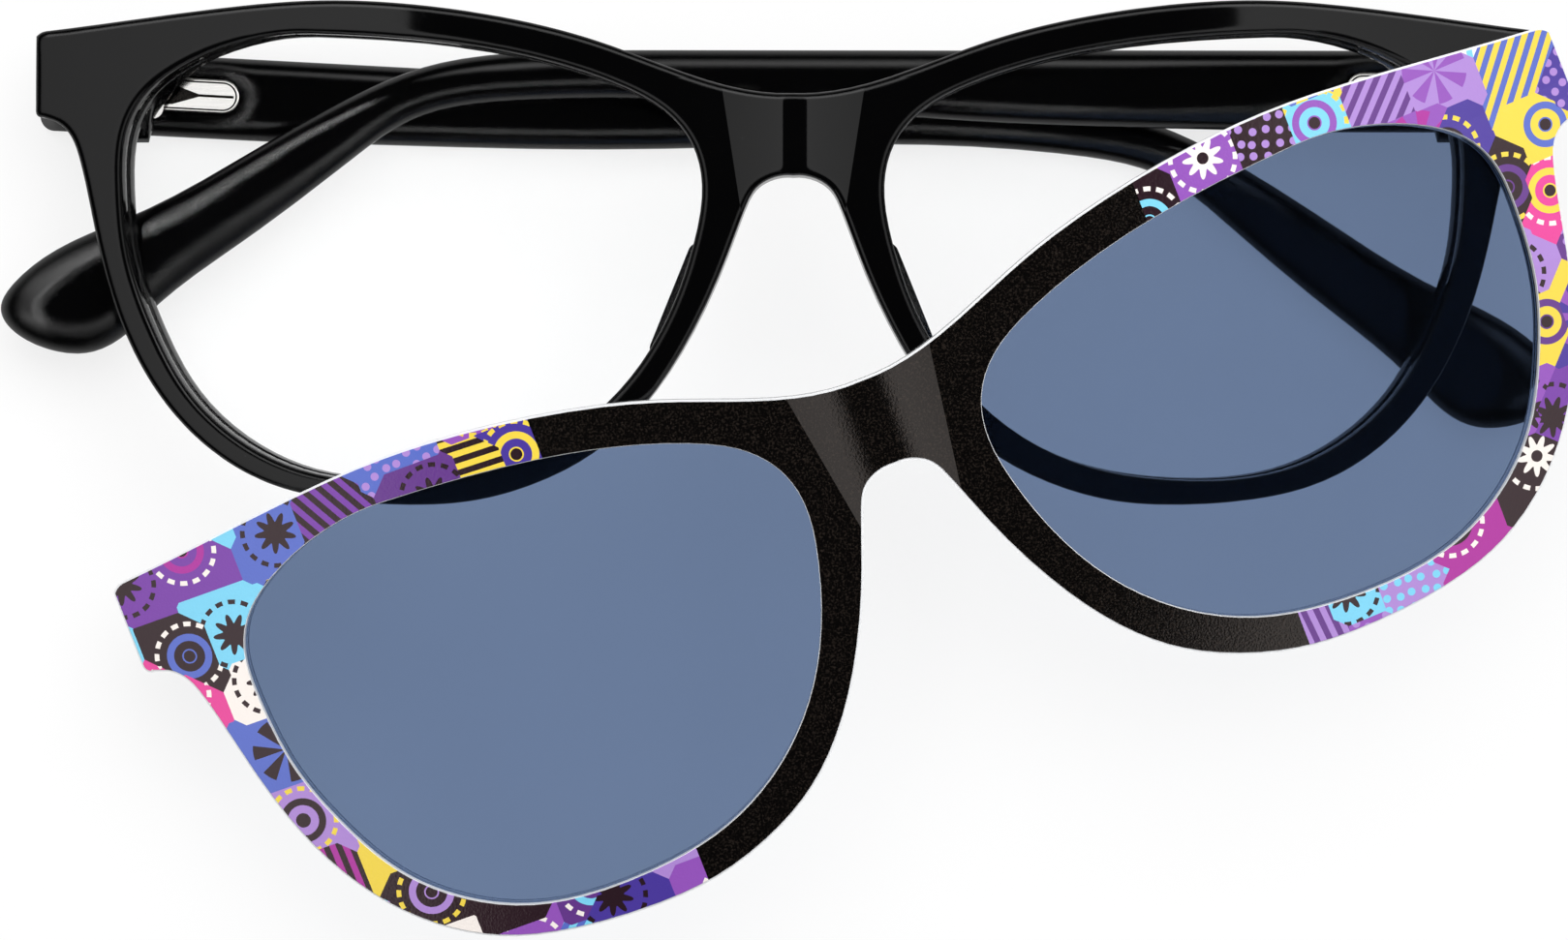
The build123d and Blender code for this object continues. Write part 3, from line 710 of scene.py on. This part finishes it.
steel = metal_material(
    "polished_steel", bright=(0.83, 0.82, 0.80), dark=(0.62, 0.61, 0.60),
    gloss=0.1, grain_way=LONG_GRAIN,
)
case_steel = {
    side: metal_material(
        "case_steel_" + side, bright=(0.86, 0.85, 0.83), dark=(0.7, 0.69, 0.67),
        gloss=0.08, grain_way=LONG_GRAIN, recess_below=pin.z / MM - RECESS_BELOW_PIN,
    )
    for side, pin in (("left", left_pin), ("right", right_pin))
}
wire = metal_material(
    "spring_wire", bright=(0.5, 0.5, 0.51), dark=(0.34, 0.34, 0.35),
    gloss=0.25, grain_way=(2.0, 0.4, 0.4),
)
nickel = metal_material(
    "magnet_nickel", bright=(0.66, 0.64, 0.60), dark=(0.5, 0.49, 0.46),
    gloss=0.2, grain_way=(1.0, 1.0, 1.0),
)
metals = (steel, *case_steel.values(), wire, nickel)
print("metals", len(metals))

# %% [markdown]
# ## A finish for each piece
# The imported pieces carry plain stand-in materials. Only their material slots are changed
# here, so that every piece keeps its mesh and its place.

# %% Finish for each piece
FINISHES = {
    "front": front_acetate, "temple_left": bar_acetate, "temple_right": bar_acetate,
    "nose_pad_left": bar_acetate, "nose_pad_right": bar_acetate,
    "lens_left": clear_lens, "lens_right": clear_lens,
    "clip_lens_left": tinted_lens, "clip_lens_right": tinted_lens,
    "clip_frame": plate_white, "clip_print": film,
    "clip_magnets": nickel, "frame_magnets": nickel,
}
for side in ("left", "right"):
    for name in ("hinge_leaf_", "hinge_screw_", "hinge_slider_"):
        FINISHES[name + side] = steel
    FINISHES["spring_case_" + side] = case_steel[side]
    FINISHES["hinge_spring_" + side] = wire
for name, material in FINISHES.items():
    slots = nodes[name].data.materials
    slots.clear()
    slots.append(material)
print("finished", len(FINISHES), "of", len(nodes))

# %% [markdown]
# ## Springs of the hinges
# When a temple is pushed 1.2 mm past its open place, the coil inside it is pressed together.
# A solid can't do that. Each coil here is a copy of the imported one that takes its place,
# is attached to its temple's body and has a mesh of its own; the copy keeps the coil's shape.

# %% Copies of the coils
for side in ("left", "right"):
    node = nodes["hinge_spring_" + side]
    coil = bpy.data.objects.new("hinge_coil_" + side, node.data.copy())
    bpy.context.scene.collection.objects.link(coil)
    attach(coil, "temple_" + side)
    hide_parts("hinge_spring_" + side)
    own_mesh(coil)

# %% [markdown]
# ## Table
# The photograph has a bare table that is almost pure white. Lamps strong enough for that
# would bleach the frame too, so most of the table's white is its own glow, which the camera
# and the lenses see in full, and polish at half strength. The share that is lit keeps the
# soft shadows. From below the table is clear, because the open temples reach under it.

# %% Table
TABLE_HALF = 3  # m
TABLE_DROP = 0.00002  # m, so that table and frame never share a face
GLOW_SHARE = 0.8
GLOW_IN_POLISH = 0.5

table_mesh = bpy.data.meshes.new("table")
corners = [(x * TABLE_HALF, y * TABLE_HALF, 0) for x, y in ((-1, -1), (1, -1), (1, 1), (-1, 1))]
table_mesh.from_pydata(corners, [], [(0, 1, 2, 3)])
table = bpy.data.objects.new("table", table_mesh)
bpy.context.scene.collection.objects.link(table)
table.location.z = cad_low[2] - TABLE_DROP
white, tree, shader = new_material("white_table", (0.9, 0.9, 0.9), 0.6)
shader.inputs["Specular IOR Level"].default_value = 0.2
paper = add_node(
    tree, "ShaderNodeTexNoise", {"Vector": place_in_mm(tree), "Scale": 0.02, "Detail": 2.0}
)
paper_white = blend_colour(
    tree, paper.outputs["Fac"], (0.895, 0.895, 0.895, 1), (0.915, 0.915, 0.915, 1)
)
tree.links.new(paper_white, shader.inputs["Base Color"])
table_mesh.materials.append(white)
table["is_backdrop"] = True
print("table at", round(table.location.z, 6))

# %% Glow of the table
path = add_node(tree, "ShaderNodeLightPath")
in_polish = maths(tree, "MULTIPLY", path.outputs["Is Glossy Ray"], GLOW_IN_POLISH)
strength = maths(tree, "MAXIMUM", path.outputs["Is Camera Ray"], in_polish)
strength = maths(tree, "MAXIMUM", strength, path.outputs["Is Transmission Ray"])
glow = add_node(tree, "ShaderNodeEmission", {"Strength": strength})
from_above = add_node(
    tree, "ShaderNodeMixShader", {0: GLOW_SHARE, 1: shader.outputs[0], 2: glow.outputs[0]}
)
clear = add_node(tree, "ShaderNodeBsdfTransparent")
backfacing = add_node(tree, "ShaderNodeNewGeometry").outputs["Backfacing"]
either_side = add_node(
    tree, "ShaderNodeMixShader", {0: backfacing, 1: from_above.outputs[0], 2: clear.outputs[0]}
)
tree.links.new(either_side.outputs[0], tree.nodes["Material Output"].inputs["Surface"])
print("table nodes", len(tree.nodes))

# %% [markdown]
# ## Light
# The shadows are soft and fall a little towards the viewer's bottom edge. So one broad lamp
# hangs above and beyond the brow, with a larger and weaker one overhead. Neither is
# mirrored anywhere.
# Polished black shows nothing but what it reflects, so it needs things to mirror: two long
# panels at the sides draw the grey bands on the rims and the bridge, and one beyond the brow
# lights the top edges. Light linking keeps them off the lenses, where they would sparkle.

# %% Lamps above the table
def lamp(name, power, size, place, target):
    data = bpy.data.lights.new(name, "AREA")
    data.energy = power
    data.shape = "RECTANGLE"
    data.size, data.size_y = size
    thing = bpy.data.objects.new(name, data)
    back = (Vector(place) - Vector(target)).normalized()
    wide = Vector((0, 1, 0)).cross(back).normalized()
    turn = Matrix((wide, back.cross(wide), back)).transposed()
    thing.matrix_world = Matrix.Translation(place) @ turn.to_4x4()
    bpy.context.scene.collection.objects.link(thing)
    return thing


for name, power, size, place in (
    ("main_lamp", 15.0, (1.2, 1.0), (0.05, 0.5, 1.0)),
    ("fill_lamp", 11.0, (2.4, 2.4), (0, -0.1, 1.1)),
):
    high_lamp = lamp(name, power, size, place, target=(0, 0, 0))
    high_lamp.visible_glossy = False
    high_lamp.visible_transmission = False
print("lamps", len(bpy.data.lights))

# %% Panels that the polish mirrors
def fade_across(panel, near, far):
    """Changes a panel's brightness along its width, from near to far."""
    panel.data.use_nodes = True
    tree = panel.data.node_tree
    spot = add_node(tree, "ShaderNodeTexCoord").outputs["UV"]
    along_width = add_node(tree, "ShaderNodeSeparateXYZ", {0: spot}).outputs[0]
    inputs = {"Value": along_width, "To Min": near, "To Max": far}
    share = add_node(tree, "ShaderNodeMapRange", inputs).outputs[0]
    tree.links.new(share, tree.nodes["Emission"].inputs["Strength"])


def collect(name, wanted):
    """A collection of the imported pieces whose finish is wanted."""
    collection = bpy.data.collections.new(name)
    for piece, material in FINISHES.items():
        if wanted(material):
            collection.objects.link(nodes[piece])
    return collection


def show_only_to(panel, pieces):
    panel.visible_diffuse = False
    panel.light_linking.receiver_collection = pieces


DIM_EDGE, BRIGHT_EDGE = 0.85, 1.25

polished_pieces = collect("polished_pieces", lambda m: m not in (clear_lens, tinted_lens))
for name, side, fade in (
    ("panel_left", -1, (DIM_EDGE, BRIGHT_EDGE)),
    ("panel_right", 1, (BRIGHT_EDGE, DIM_EDGE)),
):
    panel = lamp(name, 1.0, (0.42, 1.2), (side * 0.485, 0, 0.6), target=(side * 0.42, 0, 0))
    fade_across(panel, *fade)
    show_only_to(panel, polished_pieces)
brow_panel = lamp("brow_panel", 2.0, (1.3, 0.3), (0, 0.45, 0.6), target=(0, 0.4, 0))
show_only_to(brow_panel, polished_pieces)

# %% [markdown]
# The steel of the hinges looks straight up, and the temples are dark bars between the rims.
# Both stay dull under those panels, and panels placed for them would grey the fronts. So
# each gets strips of its own, which light linking hides from all else.

# %% Strips for the metal and for the temples
metal_pieces = collect("metal_pieces", lambda m: m in metals)
bar_pieces = collect("bar_pieces", lambda m: m == bar_acetate)
for name, power, size, place, target, pieces in (
    ("steel_panel", 2.6, (1.3, 0.55), (0, 0.2, 0.6), (0, 0.2, 0), metal_pieces),
    ("bar_low", 0.65, (1.2, 0.14), (0, -0.26, 0.6), (0, -0.2, 0), bar_pieces),
    ("bar_ear", 0.45, (0.03, 0.6), (-0.2, 0.08, 0.6), (-0.15, 0, 0), bar_pieces),
):
    show_only_to(lamp(name, power, size, place, target), pieces)

# %% [markdown]
# The world is white to the camera and through the lenses, like the table, and gives the
# pieces almost no light of its own.

# %% World
SKY_LIGHT = 0.02

world = bpy.data.worlds.new("studio")
bpy.context.scene.world = world
world.use_nodes = True
sky_tree = world.node_tree
sky = sky_tree.nodes["Background"]
sky.inputs["Color"].default_value = (1, 1, 1, 1)
sky_path = add_node(sky_tree, "ShaderNodeLightPath").outputs
seen_sky = maths(sky_tree, "MAXIMUM", sky_path["Is Camera Ray"], sky_path["Is Transmission Ray"])
sky_strength = maths(sky_tree, "MAXIMUM", seen_sky, SKY_LIGHT)
sky_tree.links.new(sky_strength, sky.inputs["Strength"])
print("world", world.name, "light", SKY_LIGHT)

# %% [markdown]
# ## Camera
# The photograph looks straight at the face of the frame from some 85 centimetres, with a
# long lens, and its middle lies a little below the bridge. The lens follows from the width
# that the picture shows. A lens shift could frame the picture too, but moving the camera
# keeps other views in the middle.

# %% Camera
IMAGE_WIDTH = 144.8  # mm across the picture, at the face of the frame
LOOK_ASIDE, LOOK_DROP = -0.85, 40.3  # mm to the side, and down from the top of the front
CAMERA_DISTANCE = 0.85  # m
SENSOR_WIDTH = 36.0  # mm

look_at = face_middle + across * LOOK_ASIDE * MM + brow_way * (AXIS_DROP - LOOK_DROP) * MM
camera_data = bpy.data.cameras.new("camera")
camera_data.sensor_width = SENSOR_WIDTH
camera_data.lens = SENSOR_WIDTH * CAMERA_DISTANCE / (IMAGE_WIDTH * MM)
camera_data.clip_start = 0.05
camera = bpy.data.objects.new("camera", camera_data)
facing = Matrix((across, brow_way, upward)).transposed().to_4x4()
camera.matrix_world = Matrix.Translation(look_at + upward * CAMERA_DISTANCE) @ facing
bpy.context.scene.collection.objects.link(camera)
bpy.context.scene.camera = camera
bpy.context.scene.view_settings.view_transform = "Standard"
print("camera lens", round(camera_data.lens, 1))

# %% [markdown]
# ## Finish
# The last step measures everything once more and prints the size of the box that the visible
# pieces fill.

# %% Finish
low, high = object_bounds()
print("size", [round(b - a, 4) for a, b in zip(low, high)])
